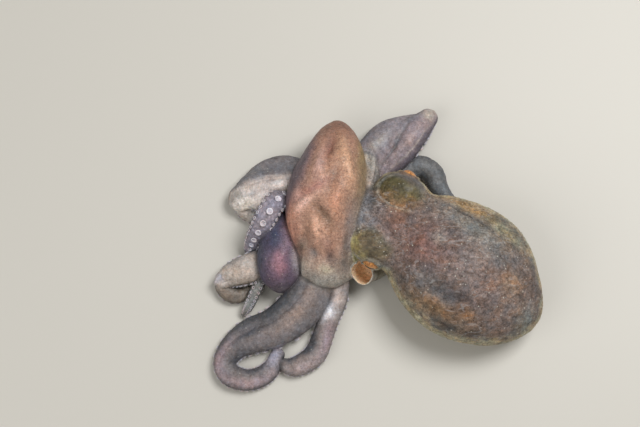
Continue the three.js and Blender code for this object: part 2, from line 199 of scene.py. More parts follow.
class Loft:
    """A section that runs along a spline, with the same points as in the solids."""

    def __init__(self, points, tall, deep, rise=(0, 0, 1), trim=0):
        table = np.array(points, float)
        self.line, self.halves = table[:, :3], table[:, 3:] - trim
        self.tall, self.deep = tall, deep
        _, along, _ = self.trace(np.linspace(0, 1, FRAME_STEPS + 1))
        carried = [across(np.array(rise, float), along[0])]
        for tangent in along[1:]:
            carried.append(across(carried[-1], tangent))
        self.rises = np.array(carried)
        self.length = np.linalg.norm(np.diff(self.line, axis=0), axis=1).sum()
        self.steps = max(FEWEST, int(self.length / ALONG))

    def trace(self, t):
        line, halves = self.line, self.halves
        centre, slope = crossing(line, t, (2 * line[0] - line[1], 2 * line[-1] - line[-2]))
        half, _ = crossing(halves, t, (halves[0], halves[-1]))
        return centre, unit(slope), half

    def at(self, t):
        """Centre, direction ahead, up, sideways and half width at shares t of the length."""
        centre, along, half = self.trace(t)
        up = across(self.rises[np.rint(np.clip(t, 0, 1) * FRAME_STEPS).astype(int)], along)
        return centre, along, up, np.cross(up, along), half

    def width(self, t):
        return self.trace(np.array([t]))[2][0, 0]

    def place(self, t, wide, lift, ahead=0):
        """Points at shares of the half width and height to the side of and above the spline."""
        centre, along, up, side, half = self.at(t)
        wide, lift, ahead = (np.broadcast_to(value, (len(t),))[:, None] for value in (wide, lift, ahead))
        height = half * np.where(lift > 0, self.tall, self.deep)
        return centre + side * wide * half + up * lift * height + along * ahead

    def rings(self, t, shrink, ahead):
        """Whole sections, each shrunk and moved ahead along the spline."""
        wide, lift = (np.outer(shrink, part).ravel() for part in circle(ROUND))
        return self.place(np.repeat(t, ROUND), wide, lift, np.repeat(ahead, ROUND)).reshape(len(t), ROUND, 3)

    def blob(self):
        """The loft swelling from nothing at both ends."""
        turn = np.linspace(0, np.pi, self.steps + 2)[1:-1]
        return closed(self.rings((1 - np.cos(turn)) / 2, np.sin(turn), 0 * turn), *self.line[[0, -1]])

    def tube(self, first=0, domes=(1, 1)):
        """The loft from a share of its length on, with each end domed by a share of its half width."""
        turn = np.linspace(0, np.pi / 2, CAP_RINGS + 1)[1:-1]
        ends = np.array([first, 1])
        rise = self.trace(ends)[2][:, 0] * domes * (-1, 1)
        middle = np.linspace(*ends, self.steps)
        shares = np.concatenate([0 * turn + first, middle, 0 * turn + 1])
        shrink = np.concatenate([np.cos(turn)[::-1], 0 * middle + 1, np.cos(turn)])
        ahead = np.concatenate([np.sin(turn)[::-1] * rise[0], 0 * middle, np.sin(turn) * rise[1]])
        return closed(self.rings(shares, shrink, ahead), *self.place(ends, 0, 0, rise))

    def near(self, places):
        """For each place: the share of the length beside it, and how far aside and above it lies."""
        t = np.linspace(0, 1, STATIONS)
        centre, _, up, side, half = self.at(t)
        best = np.empty(len(places), int)
        for part in np.array_split(np.arange(len(places)), max(1, len(places) // BATCH)):
            best[part] = ((centre ** 2).sum(1) - 2 * places[part] @ centre.T).argmin(1)
        offset = places - centre[best]
        wide = (offset * side[best]).sum(1) / half[best, 0]
        lift = (offset * up[best]).sum(1) / half[best, 0]
        lift /= np.where(lift > 0, self.tall, self.deep)
        return t[best], wide, lift


def closed(rings, start, end):
    """A closed mesh through rings of points, with a point at each end."""
    count, sides, _ = rings.shape
    points = np.vstack([rings.reshape(-1, 3), start, end])
    i = np.arange(count - 1)[:, None] * sides
    j = np.arange(sides)
    k = (j + 1) % sides
    quads = np.stack(np.broadcast_arrays(i + j, i + k, i + k + sides, i + j + sides), -1).reshape(-1, 4)
    last = (count - 1) * sides
    fans = [np.stack([np.full(sides, count * sides), k, j], 1),
            np.stack([np.full(sides, count * sides + 1), j + last, k + last], 1)]
    return points, np.vstack(fans), quads


def sphere(turn, sides, poles, reach=1):
    """A closed ball from rings at angles to its axis, with the heights of its two ends."""
    flat, height = reach * np.sin(turn)[:, None], reach * np.cos(turn)[:, None]
    cosines, sines = circle(sides)
    rings = np.stack(np.broadcast_arrays(flat * cosines, flat * sines, height), -1)
    return closed(rings, *np.outer(poles, UP))


# ---------- flesh grown on a grid
def smooth(none, whole, value):
    """0 at one value, 1 at another, and a smooth rise between."""
    share = np.clip((value - none) / (whole - none), 0, 1)
    return share * share * (3 - 2 * share)


def hump(value, width):
    """1 at zero, falling off on both sides."""
    return np.exp(-(value / width) ** 2)


GRID_LOW, GRID_HIGH = (np.rint((np.array(corner) / MM + side * MARGIN) / VOXEL).astype(int)
                       for corner, side in zip(CAD_BOX, (-1, 1)))


class Part:
    """Distances to one closed piece, on a window of the grid."""

    def __init__(self, points, triangles, quads):
        reach = int(math.ceil(BAND / VOXEL))
        grid = vdb.FloatGrid.createLevelSetFromPolygons(
            points.astype(np.float32), triangles=triangles.astype(np.uint32), quads=quads.astype(np.uint32),
            transform=vdb.createLinearTransform(voxelSize=VOXEL), halfWidth=float(reach))
        self.low = np.maximum(np.floor(points.min(0) / VOXEL).astype(int) - reach, GRID_LOW)
        high = np.minimum(np.ceil(points.max(0) / VOXEL).astype(int) + reach, GRID_HIGH)
        self.values = np.empty(high - self.low + 1, np.float32)
        grid.copyToArray(self.values, ijk=tuple(int(i) for i in self.low))

    def axes(self):
        """The grid's x, y and z in this window."""
        return np.ix_(*((low + np.arange(n)) * VOXEL for low, n in zip(self.low, self.values.shape)))

    def sample(self, places):
        """Distances at places, read between the grid's points."""
        at = places / VOXEL - self.low
        inside = ((at >= 0) & (at < np.array(self.values.shape) - 1)).all(1)
        out = np.full(len(places), BAND, np.float32)
        out[inside] = between(at[inside], lambda cells: self.values[tuple(cells.T)])
        return out


def between(at, value, ease=lambda f: f):
    """A value of whole-numbered cells, read between the eight cells round each place."""
    cell = np.floor(at).astype(np.int64)
    f = ease(at - cell)
    return sum(np.where(corner, f, 1 - f).prod(1) * value(cell + corner) for corner in np.ndindex(2, 2, 2))


class Flesh(Part):
    """The whole animal's distances, which grow part by part."""

    def __init__(self):
        self.low = GRID_LOW
        self.values = np.full(GRID_HIGH - GRID_LOW + 1, BAND, np.float32)

    def window(self, part):
        start = part.low - self.low
        return tuple(slice(a, a + n) for a, n in zip(start, part.values.shape))

    def add(self, part, reach, groove=0, width=1):
        """Joins a part on, blended over a reach, with a groove where the two surfaces meet."""
        window = self.window(part)
        old = self.values[window]
        apart = np.abs(old - part.values)
        blend = np.clip(1 - apart / reach, 0, None) ** 3 * reach / 6
        self.values[window] = np.minimum(old, part.values) - blend + groove * hump(apart, width)

    def cut(self, part):
        window = self.window(part)
        self.values[window] = np.maximum(self.values[window], -part.values)

    def rest(self):
        """Levels the flesh where it stands on the floor."""
        self.values = np.maximum(self.values, -self.axes()[2]).astype(np.float32)

    def surface(self):
        grid = vdb.FloatGrid(BAND)
        grid.copyFromArray(self.values, ijk=tuple(int(i) for i in self.low))
        grid.transform = vdb.createLinearTransform(voxelSize=VOXEL)
        points, quads = grid.convertToQuads(0.0)
        return points.astype(float), quads.astype(int)


# ---------- the whole shape
LOFTS = {name: Loft(**shape) for name, shape in {**BLOBS, **ARMS, "siphon": SIPHON}.items()}
HEAD_TURN = math.atan2(*EYE_LINE)
# Across the head's turn the columns run beside the eyes' line, along it and up.
HEAD_AXES = np.array([[math.cos(HEAD_TURN), math.sin(HEAD_TURN), 0],
                      [-math.sin(HEAD_TURN), math.cos(HEAD_TURN), 0], [0, 0, 1]])


def ball(at, half, axes=np.eye(3)):
    """A closed ellipsoid, with its axes in the columns of a matrix."""
    points, *faces = sphere(np.linspace(np.pi, 0, BALL_RINGS)[1:-1], ROUND, (-1, 1))
    return points * half @ axes.T + at, *faces


def eye_place(side):
    """The middle and radius of an eye, from its solid."""
    low, high = (np.array(corner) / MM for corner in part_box(f"eye_{side}"))
    return (low + high) / 2, (high - low).max() / 2


def eye_axes(side):
    """The way an eye looks, and the directions up and level across it."""
    look = unit(np.array(SIDES[side]["look"]))
    upward = across(UP, look)
    return look, upward, np.cross(upward, look)


def lid(side):
    """The ring of skin round an eye."""
    centre, radius = eye_place(side)
    look, upward, level = eye_axes(side)
    ring = math.hypot(radius, LID_TUBE) * math.sqrt(1 - LID_AHEAD ** 2)
    (cos_u, sin_u), (cos_v, sin_v) = map(circle, LID_SIDES)
    out = cos_u[:, None, None] * upward - sin_u[:, None, None] * level
    points = centre + look * (radius * LID_AHEAD + LID_TUBE * sin_v[:, None]) \
        + out * (ring + LID_TUBE * cos_v[:, None])
    cells = np.arange(math.prod(LID_SIDES)).reshape(LID_SIDES)
    ahead = np.roll(cells, -1, 0)
    quads = np.stack([cells, ahead, np.roll(ahead, -1, 1), np.roll(cells, -1, 1)], -1).reshape(-1, 4)
    return points.reshape(-1, 3), NO_FACES, quads


def root_reach(name, part):
    """The reach of an arm's blend, which is largest at the arm's root."""
    root, further = ROOT_REACH.get(name, ARM_REACH[0]), ARM_REACH[1]
    away = np.sqrt(sum((axis - start) ** 2 for axis, start in zip(part.axes(), LOFTS[name].line[0])))
    return further + (root - further) * smooth(*ARM_ROOT, away / LOFTS[name].length)


def grow():
    """All the flesh as one body, and the parts that it was grown from."""
    flesh = Flesh()
    parts = {name: Part(*LOFTS[name].blob()) for name in BLOBS}
    parts.update({name: Part(*LOFTS[name].tube()) for name in ARMS})
    parts["siphon"] = Part(*LOFTS["siphon"].tube(domes=SIPHON_DOMES))
    parts["siphon_bore"] = Part(*Loft(**SIPHON, trim=SIPHON_WALL).tube(SIPHON_BORE))

    def join(*names):
        for name in names:
            flesh.add(parts[name], *JOINS[name])

    join("mantle")
    back = smooth(*NAPE, parts["head"].axes()[2])
    reach = NAPE_REACH[0] + (NAPE_REACH[1] - NAPE_REACH[0]) * back
    flesh.add(parts["head"], reach, NAPE_GROOVE[0] * (1 - back), NAPE_GROOVE[1])
    for side, brow in SIDES.items():
        flesh.add(Part(*ball(brow["at"], brow["half"], HEAD_AXES)), BROW_REACH)
        flesh.add(Part(*lid(side)), LID_REACH)
        flesh.cut(Part(*ball(*eye_place(side))))
    join("siphon", "web_collar", "web_dome", "web_lobe")
    for name in ARMS:
        reach = root_reach(name, parts[name])
        flesh.add(parts[name], reach, ARM_GROOVE[0] * smooth(*GROOVED, reach), ARM_GROOVE[1])
    join("web_right", "web_front")
    flesh.cut(parts["siphon_bore"])
    flesh.rest()
    return flesh, parts


# ---------- meshes
NO_FACES = np.empty((0, 3), int)
TINY = 1e-12


def gather(total, corners, values):
    """Adds up a vector of each face at the points of one of its corners."""
    for axis in range(3):
        total[:, axis] += np.bincount(corners, values[:, axis], len(total))


def normals(points, quads):
    a, b, c, d = (points[corners] for corners in quads.T)
    facing = np.cross(c - a, d - b)
    total = np.zeros_like(points)
    for corners in quads.T:
        gather(total, corners, facing)
    return total / np.maximum(np.linalg.norm(total, axis=1, keepdims=True), TINY)


def relax(points, quads, times):
    """Moves each point towards the middle of its neighbours."""
    count = 2 * np.bincount(quads.ravel(), minlength=len(points))
    for _ in range(times):
        total = np.zeros_like(points)
        for k in range(4):
            for step in (1, 3):
                gather(total, quads[:, k], points[quads[:, (k + step) % 4]])
        points = (points + total / count[:, None]) / 2
    return points


def largest_body(points, quads):
    """Only the biggest connected piece of a mesh."""
    label = np.arange(len(points))
    while True:
        least = label[quads].min(1)
        fresh = label.copy()
        for corners in quads.T:
            np.minimum.at(fresh, corners, least)
        fresh = fresh[fresh]
        if (fresh == label).all():
            break
        label = fresh
    keep = label == np.bincount(label).argmax()
    index = np.cumsum(keep) - 1
    return points[keep], index[quads[keep[quads].all(1)]]


def mesh_object(name, points, triangles, quads, **layers):
    """A smooth-shaded object from points in millimetres, with layers of colours on them."""
    mesh = bpy.data.meshes.new(name)
    mesh.from_pydata((points * MM).tolist(), [], triangles.tolist() + quads.tolist())
    mesh.shade_smooth()
    for layer, colours in layers.items():
        made = mesh.color_attributes.new(layer, "FLOAT_COLOR", "POINT")
        made.data.foreach_set("color", np.c_[colours, np.ones(len(colours))].ravel())
    thing = bpy.data.objects.new(name, mesh)
    bpy.context.scene.collection.objects.link(thing)
    return thing


# ---------- noise
HASH = np.array([73856093, 19349663, 83492791])
HASH_SEED = 999331
HASH_MIXER = 73244475
WORD = 0xFFFFFFFF
OCTAVES = 3
JITTER = 0.8  # how far from the middle of its cell a grain may lie, as a share of the cell
FAR = 9.0  # further than any grain


def lottery(cells, seed):
    """A number from 0 to 1 for each whole-numbered cell, always the same for the same seed."""
    mixed = (cells @ HASH + seed * HASH_SEED) & WORD
    for _ in range(2):
        mixed = (((mixed >> 16) ^ mixed) * HASH_MIXER) & WORD
    return (mixed >> 8) / (WORD >> 8)


def noise(places, size, seed):
    """Smooth noise from -1 to 1 with features of a size."""
    return 2 * between(places / size, lambda cells: lottery(cells, seed), lambda f: smooth(0, 1, f)) - 1


def billow(places, size, seed):
    """Noise with finer noise on it."""
    shares = [0.5 ** k for k in range(OCTAVES)]
    return sum(noise(places, size * share, seed + k) * share for k, share in enumerate(shares)) / sum(shares)


def moved(places, far, size, seeds, kind):
    """Places moved about by noise."""
    return places + far * np.stack([kind(places, size, seed) for seed in seeds], 1)


def grains(places, size, seed):
    """Scattered points, with distances as shares of their spacing: how near the nearest of them is, its
    own number from 0 to 1, and how near the border to the next one is."""
    at = places / size
    cell = np.floor(at).astype(np.int64)
    best, second = np.full((2, len(places)), FAR)
    lot = np.zeros(len(places))
    for step in np.ndindex(3, 3, 3):
        other = cell + step - 1
        jitter = np.stack([lottery(other, seed + k) for k in range(3)], 1) * JITTER + (1 - JITTER) / 2
        away = np.linalg.norm(other + jitter - at, axis=1)
        second = np.minimum(second, np.maximum(best, away))
        nearer = away < best
        best[nearer] = away[nearer]
        lot[nearer] = lottery(other[nearer], seed + 3)
    return best, lot, second - best


# ---------- colours and relief of each part
def rgb(code):
    """Linear colour from a hex code."""
    channels = np.array([(code >> shift & 255) / 255 for shift in (16, 8, 0)])
    return np.where(channels < 0.04045, channels / 12.92, ((channels + 0.055) / 1.055) ** 2.4)


PERCENT = 100
# Colours of each part: along the back, on its +side and -side flanks, and underneath.
TINTS = dict(
    mantle=(0x786A63, 0x7C786E, 0x77726A, 0x827B72),
    head=(0x7B6E67, 0x70695C, 0x736D60, 0x827B72),
    web_dome=(0xB08872, 0x8C785E, 0x6E6068, 0x8C8276),
    web_collar=(0xA09A92, 0x928E8A, 0x827E7A, 0x77716A),
    web_lobe=(0x5C4E60, 0x6E6068, 0x444658, 0x5A5258),
    web_right=(0x868086, 0x7A767A, 0x807A7E, 0x8A8684),
    web_front=(0x767274, 0x8A8684, 0x6C696C, 0x807A78),
    right1=(0x85808A, 0x7A7680, 0x7E7A84, 0x908A95),
    left3=(0x767070, 0x767274, 0x44464A, 0x8C827C),
    left4=(0x827A78, 0x7C7574, 0x686668, 0x8C827C),
    left1=(0x82827F, 0x747472, 0x747472, 0x8C827C),
    left2=(0xB4A89E, 0x948A80, 0x9A9490, 0x8A7E72),
    left2_tip=(0x786E64, 0x6E665C, 0x6E665C, 0x7A7066),
    right2=(0xC8BEB8, 0xCCC4BC, 0x767476, 0xB0A8A2),
    right2_tip=(0xB4ACA4, 0xA8A098, 0xA8A098, 0xA09892),
    right3=(0x8C8084, 0x847E82, 0x605A64, 0x8C827C),
    right3_tip=(0x8E8684, 0x868080, 0x7A7676, 0x8C827C),
    right4=(0x686A6C, 0x626466, 0x626466, 0x7C7874),
    siphon=(0x76705F, 0x8E8A7C, 0x8E8A7C, 0x76705F),
)
# Patches, in percent of the length and of the half width: how far along and aside they are, how far each way
# they fade, how much they slant if they do, then their colour and their strength in percent.
PATCHES = dict(
    mantle=[
        (27, -11, 13, 38, 0x7C5C54, 90), (60, 0, 8, 30, 0x80685E, 70), (41, 51, 17, 18, 0x7A7A74, 90),
        (31, 10, 3.5, 11, 0x9A948E, 80), (34, 28, 5, 8, 0x4E484A, 50), (50, -44, 11, 13, 0x443E40, 80),
        (68, -78, 5, 10, 0x4A4240, 80), (46, -74, 12, 11, 0x7C5C3A, 95), (60, -60, 5, 10, 0x8C6844, 80),
        (56, -86, 4, 6, 0x403A38, 80), (38, -83, 8, 10, 0x9A8468, 85), (68, 17, 7, 17, 0x8C745C, 80),
        (78, 0, 8, 22, 0x7E6C60, 70), (33, 78, 12, 10, 0xBC9C6A, 90), (52, 76, 12, 10, 0x8E886C, 80),
        (56, 36, 6, 10, 0x525250, 65), (37, -52, 12, 14, 0x62605E, 70), (88, -20, 6, 30, 0x74786F, 70),
        (36, 63, 10, 2, 0x3E3C3C, 80)],
    head=[
        (66, -10, 20, 50, 0x76574C, 90), (22, -5, 14, 80, 0x74767A, 90), (34, 33, 8, 26, 0x54585C, 85),
        (22, 75, 10, 16, 0x8C867C, 80), (62, 54, 12, 20, 0x86624A, 80), (80, -60, 10, 20, 0x745C4A, 70),
        (46, -74, 12, 26, 0x5E5446, 85), (36, -38, 6, 16, 0x9A9490, 70)],
    # On the dome, the pale patches along its ridges and mounds are painted highlights, and the dark ones in
    # its valleys are partly its own colour and partly painted shade.
    web_dome=[
        (8, 0, 14, 90, 0x7E5C4E, 95), (20, 78, 13, 14, 0x8C7854, 90), (24, 18, 6, 16, 20, 0xB08A70, 85),
        (31, 42, 6, 24, 30, 0xCCA284, 95), (25, -10, 6, 14, 0x80584A, 95), (30, -76, 14, 26, 0x665860, 100),
        (43, -92, 9, 16, 0x5A4E54, 90), (33, -26, 7, 13, 0xB08E84, 80), (39, 14, 6, 13, 0x8E6E5A, 85),
        (44, -32, 3, 38, -12, 0xA4746A, 85), (51, -48, 3, 28, -17, 0xECC0AE, 95),
        (58, -78, 6, 18, 0xE4A68A, 90), (48, 27, 5.5, 18, 0xC08C72, 90), (50, 62, 6, 12, 0x9C7A66, 85),
        (56, 6, 4, 28, 21, 0x806450, 95), (61, -14, 4, 11, 0xDCAE94, 95), (66, -80, 12, 20, 0xBC8872, 90),
        (67, -42, 5, 12, 0x9C7864, 85), (70, 11, 4, 12, 0xB68E7E, 80), (47, -68, 3, 12, 0xCCA092, 80),
        (79, 20, 6, 14, 0x664A44, 90), (60, 72, 12, 15, 0x8E7E78, 90), (62, 92, 18, 20, 0x7C746E, 85),
        (74, 64, 9, 20, 0x746A66, 90), (71, -56, 5, 18, 0x786A5E, 85), (76, -28, 5, 15, 0x6E6866, 90),
        (94, 0, 11, 120, 0xA6A49C, 90), (86, -55, 6, 20, 0x9A988E, 80), (86, 3, 2.5, 14, 0xB6AE98, 85),
        (84, 50, 6, 20, 0x66605A, 85)],
    web_lobe=[
        (56, -8, 13, 30, 0xA87A84, 95), (38, 18, 10, 20, 0x785A6A, 80), (30, -35, 18, 35, 0x3A4258, 90),
        (52, 68, 20, 20, 0x989094, 85), (90, 0, 10, 80, 0x6A6266, 90)],
    web_collar=[
        (4, 0, 10, 80, 0xC0B8AC, 90), (20, 45, 10, 26, 0x5C6068, 80), (30, 4, 10, 36, 0xB2A299, 80),
        (54, -5, 10, 60, 0x6E6866, 80), (78, 10, 10, 60, 0x8E8876, 90)],
    # The grey band along the right2 arm's -side flank, in its tints and in the third patch, is painted shade
    # on its upper edge.
    right2=[
        (90, 55, 12, 50, 0xF0EAE0, 90), (52, 10, 14, 30, 0xB0A5A1, 80), (45, -80, 40, 30, 0x68666A, 95),
        (96, -22, 8, 40, 0x8A847A, 80), (50, 75, 20, 28, 0xF4ECE6, 90), (40, -4, 8, 24, 0xF4E8E0, 85),
        (51, -40, 10, 18, 0xA69A96, 80)],
    left3=[
        (20, 10, 12, 28, 0x908078, 90), (32, 35, 8, 25, 0x827A7A, 85), (24, -62, 12, 26, 0x484A4E, 95),
        (37, -15, 8, 24, 0x4C4E54, 95), (54, -50, 9, 45, 0x8E7E84, 90), (37, -82, 10, 26, 0x525458, 80),
        (74, -40, 14, 50, 0xA29094, 90), (54, 80, 10, 40, 0x44464C, 90), (80, 80, 14, 35, 0x4C4C52, 90),
        (96, 30, 7, 80, 0xA4A2B2, 90)],
    left4=[
        (20, 25, 10, 60, 0xBCB0AC, 90), (35, -30, 6.5, 80, 0xF0EEF2, 100), (53, 45, 10, 50, 0x9A888E, 90),
        (76, 45, 12, 55, 0xAC9EA0, 90), (60, -80, 17, 36, 0x44464C, 95), (88, -60, 8, 35, 0x56565A, 80)],
    right1=[(92, 0, 16, 300, 0x5C5A5E, 80)],
    siphon=[(100, 0, 16, 300, 0xBCB8AE, 100)],
    # The bluish pale patch at the left2 arm's end is a painted highlight.
    left2=[(96, -20, 8, 40, 0xB0B4C4, 80)],
    # The dark grey patch that slants along the right3 arm's groove is painted shade.
    right3=[
        (60, -2, 16, 30, 0xA08C88, 80), (48, 38, 7, 36, 57, 0x64666A, 90), (60, -62, 28, 5, 0xC0B8AC, 40),
        (98, 15, 8, 60, 0xAEA79B, 80)],
    # The pale patch on the web_right bulge is a painted highlight.
    web_right=[(42, 15, 15, 26, 0xB6B0AC, 90)],
)
# The same for relief, with a height in millimetres in place of the colour and strength.
RELIEF = dict(
    web_dome=[
        (31, 42, 6, 26, 30, 2), (27, -10, 10, 14, -2.2), (39, 14, 6, 13, -1.8), (33, -50, 10, 16, -1),
        (34, -26, 6, 12, 0.8), (51, -48, 4, 30, -17, 1.9), (45, -32, 3, 30, -12, -0.9),
        (48, 28, 5.5, 18, 1.6), (55, 0, 3.5, 26, 21, -1.9), (61, -14, 5, 11, 1.8), (69, 8, 5, 11, 1.2),
        (66, -42, 6, 10, -1.3), (65, 34, 7, 10, -1.1), (30, -94, 18, 24, -1.5), (6, 75, 5, 30, 0.9),
        (6, -75, 5, 30, 0.9), (76, -28, 5, 14, -1), (76, 24, 6, 12, 0.7)],
    left2=[(90, -10, 14, 14, 0.8), (86, 36, 14, 10, -0.8)],
    right3=[(48, 38, 7, 34, 57, -1.4), (58, -10, 25, 22, 0.5)],
    web_right=[(42, 15, 15, 28, 0.9)],
    right2=[(45, -46, 38, 9, -0.9), (80, 20, 12, 12, -0.6)],
    left3=[(28, -34, 20, 12, -1.4), (27, 12, 17, 20, 0.8)],
    mantle=[(36, 63, 12, 1.8, -0.5)],
    web_lobe=[(53, -5, 12, 25, 0.6)],
)
# How much of each part is mottled like the body, stippled like the web and plain like an arm, and how high
# its grains stand.
SORTS = dict(mantle=(1, 0, 0, 0.13), head=(1, 0, 0, 0.18), web_dome=(0, 1, 0, 0.05),
             web_lobe=(0, 1, 0, 0.04), web_collar=(0.4, 0.5, 0.1, 0.1), siphon=(0, 0.3, 0.7, 0.02),
             right1=(0, 0, 1, 0.32), left1=(0, 0, 1, 0.3))
ARM_SORT = (0, 0, 1, 0.1)
FLANK = (0.45, 0.95)  # shares of the half width over which a flank's colour comes in
BELOW = (0.1, 0.8)  # the same for the colour underneath
TOP = (-0.3, 0.3)  # the same for the relief of the back
WRINKLE = (1.5, 1 / 1.4)  # size of a fold of an arm, along it in millimetres and across it in half widths
WRINKLE_HEIGHT = 0.3
WRINKLE_SEED = 15
# Pleats: their size along a part and across it, as for the wrinkles, and how strong they are along it.
PLEATED = {"web_collar": (16, 0.14, (0, 1), (1.5, 1.5)),
           "web_dome": (16, 0.12, (0, 0.45, 0.85), (0.1, 0.2, 1)),
           "head": (2, 0.8, (0, 0.25, 0.45), (1, 0.7, 0))}
PLEAT_SHADE = 0.416
PLEAT_HEIGHT = 0.56
PLEAT_SEED = 17


def spot(t, wide, *place):
    """How much of a patch is at each point."""
    at, aside, length, breadth, slant = np.array((*place, 0)[:5]) / PERCENT
    beside = wide - aside
    return np.exp(-((t - at - slant * beside) / length) ** 2 - (beside / breadth) ** 2)


def folds(name, t, wide, ahead, aside, seed):
    """Noise that is stretched along or across a part."""
    return billow(np.stack([t * LOFTS[name].length / ahead, wide / aside, np.zeros(len(t))], 1), 1.0, seed)


def pleats(name, t, wide):
    """Fine folds of stretched skin."""
    ahead, aside, *strengths = PLEATED[name]
    return folds(name, t, wide, ahead, aside, PLEAT_SEED) * np.interp(t, *strengths)


def part_tint(name, t, wide, lift):
    """Colours of points of one part."""
    back, plus, minus, under = map(rgb, TINTS[name])
    right, left, below = (smooth(*FLANK, wide)[:, None], smooth(*FLANK, -wide)[:, None],
                          smooth(*BELOW, -lift)[:, None])
    colour = back + (plus - back) * right + (minus - back) * left
    for *place, code, strength in PATCHES.get(name, ()):
        lay(colour, rgb(code), spot(t, wide, *place) * strength / PERCENT)
    if name in PLEATED:
        colour = colour * (1 + PLEAT_SHADE * pleats(name, t, wide))[:, None]
    return colour + (under - colour) * below


def part_relief(name, t, wide, lift):
    """Heights of points of one part above its smooth shape."""
    height = np.zeros(len(t))
    for *place, top in RELIEF.get(name, ()):
        height += spot(t, wide, *place) * top
    if name in ARMS:
        height += WRINKLE_HEIGHT * folds(name, t, wide, *WRINKLE, WRINKLE_SEED)
    if name in PLEATED:
        height += PLEAT_HEIGHT * pleats(name, t, wide)
    return height * smooth(*TOP, lift)


def lay(tint, colour, amount):
    """Lays a colour over others, as thickly as the amounts say."""
    tint += (colour - tint) * amount[:, None]


def dim(tint, amount):
    """Darkens colours by shares of themselves."""
    tint *= 1 - amount[:, None]


# ---------- the whole skin
# Pieces that run into each other. Where two groups meet, the skin is darkened as painted shade in the crease
# between them.
GROUPS = ("mantle head", "web_dome web_collar", "web_lobe", "right1", "left1",
          "left2 left2_tip", "left3", "left4", "right4",
          "right2 right2_tip web_front", "right3 right3_tip web_right")
SEAM_SHADE = 0.4
SEAM_SHADE_WIDTH = 1.1
BLEND = 0.7  # how softly one part's colour goes over into the next
LEAST = 0.02  # share of a part that still counts
DRIFT = (1.6, 8.0, (31, 41, 51))  # of the edges of the patches: how far, the size of its waves, and seeds
# Waves of the looks below: their height, size and seed.
WAVES = dict(ragged=(0.14, 5.0, 81), change=(0.5, 4.0, 84), blotch=(1, 2.4, 87), rim_fade=(0.25, 6.0, 91),
             rim_strength=(0.2, 12.0, 95), swell=(0.25, 9.0, 21))
# Ranges over which looks come in: where there is nothing of them, and where they are whole.
RANGES = dict(off_web=(0.4, 1.6), above=(0.1, 0.5), front=(0.4, -0.5), patch=(1.05, 0.45), blotch=(0, 0.45),
              lid=(2.2, 0.3), lip=(0.2, 0.4), mouth=(1.7, 1), bore=(1, SIPHON_BORE), lining=(0.3, 0.1),
              rim=(0.2, -0.15), arm_flank_shade=(0.75, 0.15), groove=(0.22, 0), bead=(0.75, 0), fleck=(0.1, 0.02),
              off_floor=(0.2, 1.5))
BROW_STRENGTH = 0.88
BROW_FORWARD = 0.35  # how much further a patch reaches in front
BROW_DARK = 0.4
EDGE_TINT = 0xA09E94
EDGE = (1.0, 0.07, 0.4)  # of a patch, in front: its distance, width and height
EDGE_GROOVE = (1.18, 0.08, -0.3)
LIP_TINT = 0xB8B4AA
LIP_STRENGTH = 0.8
BORE_TINTS = (0xF4DCBC, 0xE0BC94)  # at the siphon's mouth and deep inside
# The pale rim of side-facing body skin: its own paler skin, brightened with painted light through its thin
# edge.
RIM_GLOW_TINT = 0xB2A884
RIM_STRENGTH = 0.68
RIM_FACING = 0.4  # how far up the skin faces where the pale rim of the body ends
RIM_LINE = (0.15, 0.25, 0.1)  # of the dark line above the rim: its strength, distance and width
# Painted shade on the arms' flanks, which turn away from the light above.
ARM_FLANK_SHADE = 0.12  # how much darker an arm's flanks are
NET_SHARES = (1, 0.1, 0.4)  # how strongly the net of grooves shows on each kind of skin
NET = (4.0, 71)  # size and seed, as for the grains and flecks
NET_BENDS = (1.3, 4.0, (61, 62, 63))
NET_DEPTH = 0.2
# Painted shade that darkens the net's grooves.
NET_GROOVE_SHADE = 0.2
NET_VARIES = 0.22
BEADS = (1.4, 11)
BEAD_HEIGHTS = (0.6, 0.8)
BEAD_SHADE = 1.1
FLECKS = (5.5, 51)
FLECK_SHARE = 0.5
FLECK_HEIGHT = 0.35
FLECK_TINT = 0xC8C0B0
FLECK_STRENGTH = 0.7


def wave(name, points):
    height, size, seed = WAVES[name]
    return height * billow(points, size, seed)


def ease(name, value):
    return smooth(*RANGES[name], value)


def blend_parts(points, depths, nearest):
    """Colour, kind, relief and grain of each point, from the parts that it belongs to."""
    drifted = moved(points, *DRIFT, billow)
    total = np.zeros((len(points), 9))
    for name, depth in depths.items():
        share = np.exp(-(depth - nearest) / BLEND)
        some = share > LEAST
        t, wide, lift = LOFTS[name].near(drifted[some])
        sort = np.tile((*SORTS.get(name, ARM_SORT), 1), (len(t), 1))
        total[some] += share[some, None] * np.c_[part_tint(name, t, wide, lift),
                                                 part_relief(name, t, wide, lift), sort]
    total /= total[:, -1:]
    return total[:, :3], total[:, 4:7], total[:, 3], total[:, 7]


def paint_seam_shade(depths, tint):
    # Painted shade in the creases where two groups of pieces meet.
    groups = [np.min([depths[name] for name in group.split()], axis=0) for group in GROUPS]
    first, second = np.partition(groups, 1, axis=0)[:2]
    dim(tint, SEAM_SHADE * hump(second - first, SEAM_SHADE_WIDTH))


